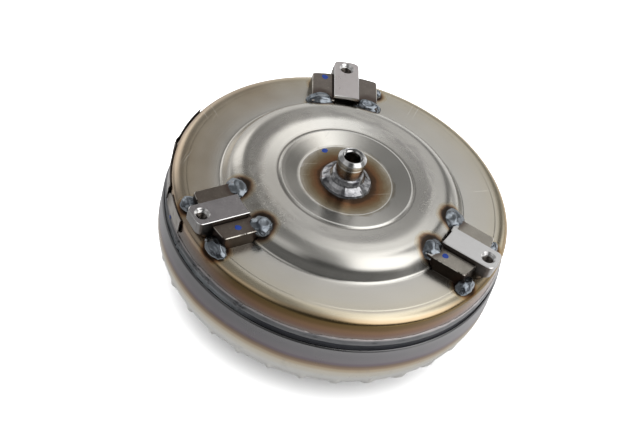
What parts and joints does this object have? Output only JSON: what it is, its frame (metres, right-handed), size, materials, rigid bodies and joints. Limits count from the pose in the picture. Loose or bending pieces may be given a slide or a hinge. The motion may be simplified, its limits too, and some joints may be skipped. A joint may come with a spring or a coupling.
{
  "type": "torque converter",
  "caption": "Automatic-transmission torque converter: welded housing with pilot and drive lugs, impeller, turbine, stator on a one-way clutch, and lock-up clutch with damper.",
  "frame": {"origin": "centre of the impeller hub's end face, on the shaft axis, where the object stands", "axes": "+Z along the shaft axis towards the engine-side pilot; +X and +Y across it, with a drive lug 18.6 degrees below +X"},
  "size_m": [0.267, 0.267, 0.1482],
  "materials": {
    "pressed_steel": "drawn sheet steel, satin, straw and blue heat tint beside the welds",
    "machined_steel": "turned or milled, bright",
    "weld_metal": "rippled weld bead, dark blue-grey",
    "blade_steel": "brazed sheet steel, satin, faint straw tint",
    "dark_steel": "phosphated, matt",
    "roller_steel": "ground and polished",
    "spring_steel": "oil-tempered wire",
    "cast_aluminium": "die cast",
    "friction_paper": "paper friction facing, matt",
    "bronze": "sintered, satin",
    "black_ptfe": "filled PTFE, matt"
  },
  "bodies": {
    "housing": {"front_cover": "pressed_steel", "pilot_hub": "machined_steel", "pilot_weld": "weld_metal", "drive_lug_1": "machined_steel", "drive_lug_2": "machined_steel", "drive_lug_3": "machined_steel", "balance_weight_1": "pressed_steel", "balance_weight_2": "pressed_steel", "balance_weight_3": "pressed_steel", "closure_weld": "weld_metal", "impeller_shell": "pressed_steel", "impeller_blades": "blade_steel", "impeller_hub": "machined_steel", "hub_weld": "weld_metal", "impeller_bearing_race": "machined_steel"},
    "turbine": {"turbine_shell": "blade_steel", "turbine_blades": "blade_steel", "turbine_hub": "machined_steel", "damper_drive_ring": "dark_steel", "cover_thrust_washer": "bronze", "turbine_bearing_race": "machined_steel", "turbine_rivet_1": "dark_steel", "turbine_rivet_2": "dark_steel", "turbine_rivet_3": "dark_steel", "turbine_rivet_4": "dark_steel", "turbine_rivet_5": "dark_steel", "turbine_rivet_6": "dark_steel"},
    "piston_seal": {"piston_seal_ring": "black_ptfe"},
    "lockup_clutch": {"lockup_piston": "dark_steel", "friction_lining": "friction_paper", "spring_retainer": "dark_steel", "damper_spring_1": "spring_steel", "damper_spring_2": "spring_steel", "damper_spring_3": "spring_steel", "damper_spring_4": "spring_steel", "damper_spring_5": "spring_steel", "damper_spring_6": "spring_steel"},
    "stator": {"stator_wheel": "cast_aluminium", "clutch_outer_race": "dark_steel", "clutch_cap_turbine_side": "bronze", "clutch_cap_impeller_side": "bronze", "clutch_roller_1": "roller_steel", "clutch_roller_2": "roller_steel", "clutch_roller_3": "roller_steel", "clutch_roller_4": "roller_steel", "clutch_roller_5": "roller_steel", "clutch_roller_6": "roller_steel", "clutch_roller_7": "roller_steel", "clutch_roller_8": "roller_steel"},
    "inner_race": {"clutch_inner_race": "machined_steel"},
    "turbine_needles": {"turbine_bearing_cage": "bronze"},
    "impeller_needles": {"impeller_bearing_cage": "bronze"}
  },
  "joints": [
    {"name": "turbine_spin", "type": "hinge", "parent": "housing", "child": "turbine", "pos_m": [0, 0, 0.09], "axis": [0, 0, 1], "continuous": true},
    {"name": "damper_twist", "type": "hinge", "parent": "turbine", "child": "piston_seal", "pos_m": [0, 0, 0.1078], "axis": [0, 0, 1], "range_deg": [-7, 7], "deforming": ["damper_spring_1", "damper_spring_2", "damper_spring_3", "damper_spring_4", "damper_spring_5", "damper_spring_6"]},
    {"name": "piston_apply", "type": "slide", "parent": "piston_seal", "child": "lockup_clutch", "axis": [0, 0, 1], "range_m": [0, 0.0009]},
    {"name": "stator_spin", "type": "hinge", "parent": "housing", "child": "stator", "pos_m": [0, 0, 0.059], "axis": [0, 0, 1], "continuous": true},
    {"name": "inner_race_spin", "type": "hinge", "parent": "housing", "child": "inner_race", "pos_m": [0, 0, 0.059], "axis": [0, 0, 1], "continuous": true},
    {"name": "turbine_needles_spin", "type": "hinge", "parent": "housing", "child": "turbine_needles", "pos_m": [0, 0, 0.07], "axis": [0, 0, 1], "continuous": true},
    {"name": "impeller_needles_spin", "type": "hinge", "parent": "housing", "child": "impeller_needles", "pos_m": [0, 0, 0.048], "axis": [0, 0, 1], "continuous": true}
  ],
  "couplings": [
    {"joint": "turbine_needles_spin", "follows": "turbine_spin", "ratio": 0.5},
    {"joint": "impeller_needles_spin", "follows": "stator_spin", "ratio": 0.5}
  ]
}
